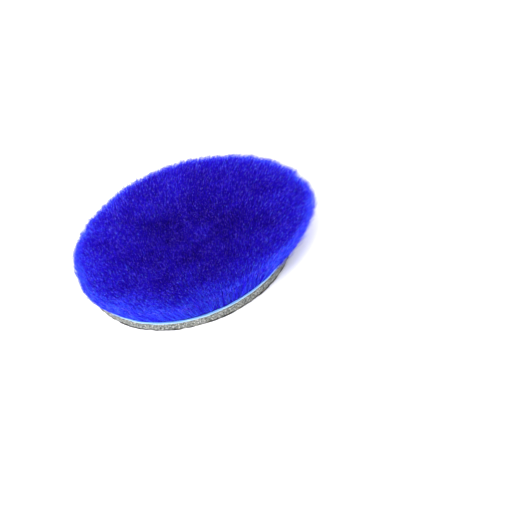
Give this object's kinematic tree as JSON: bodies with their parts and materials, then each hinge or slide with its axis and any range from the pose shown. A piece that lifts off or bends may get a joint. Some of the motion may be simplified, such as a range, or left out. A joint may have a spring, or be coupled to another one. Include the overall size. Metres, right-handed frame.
{
  "type": "polishing pad",
  "caption": "Round dyed-wool polishing pad on a sheepskin hide, bonded to a grey foam interface with a black hook-and-loop mounting face.",
  "frame": {"origin": "centre of the loop face, on the plane where the loops meet the backing plate", "axes": "+Z along the pad's axis, from the loop face to the wool; X and Y lie in the loop face"},
  "size_m": [0.178, 0.178, 0.0253],
  "materials": {
    "loop_nylon": "matte",
    "ground_knit": "matte",
    "adhesive_film": "satin",
    "grey_foam": "matte",
    "sheepskin_hide": "matte",
    "dyed_wool": "matte"
  },
  "bodies": {
    "backing": {"loop_pile": "loop_nylon", "loop_ground_cloth": "ground_knit", "loop_adhesive": "adhesive_film", "foam_interface": "grey_foam"},
    "wool_face": {"hide_adhesive": "adhesive_film", "hide_backing": "sheepskin_hide", "wool_pile": "dyed_wool"}
  },
  "joints": [
    {"name": "foam_compression", "type": "slide", "parent": "backing", "child": "wool_face", "axis": [0, 0, 1], "range_m": [-0.0025, 0], "stiffness_N_per_m": 20000, "deforming": ["foam_interface"]}
  ]
}
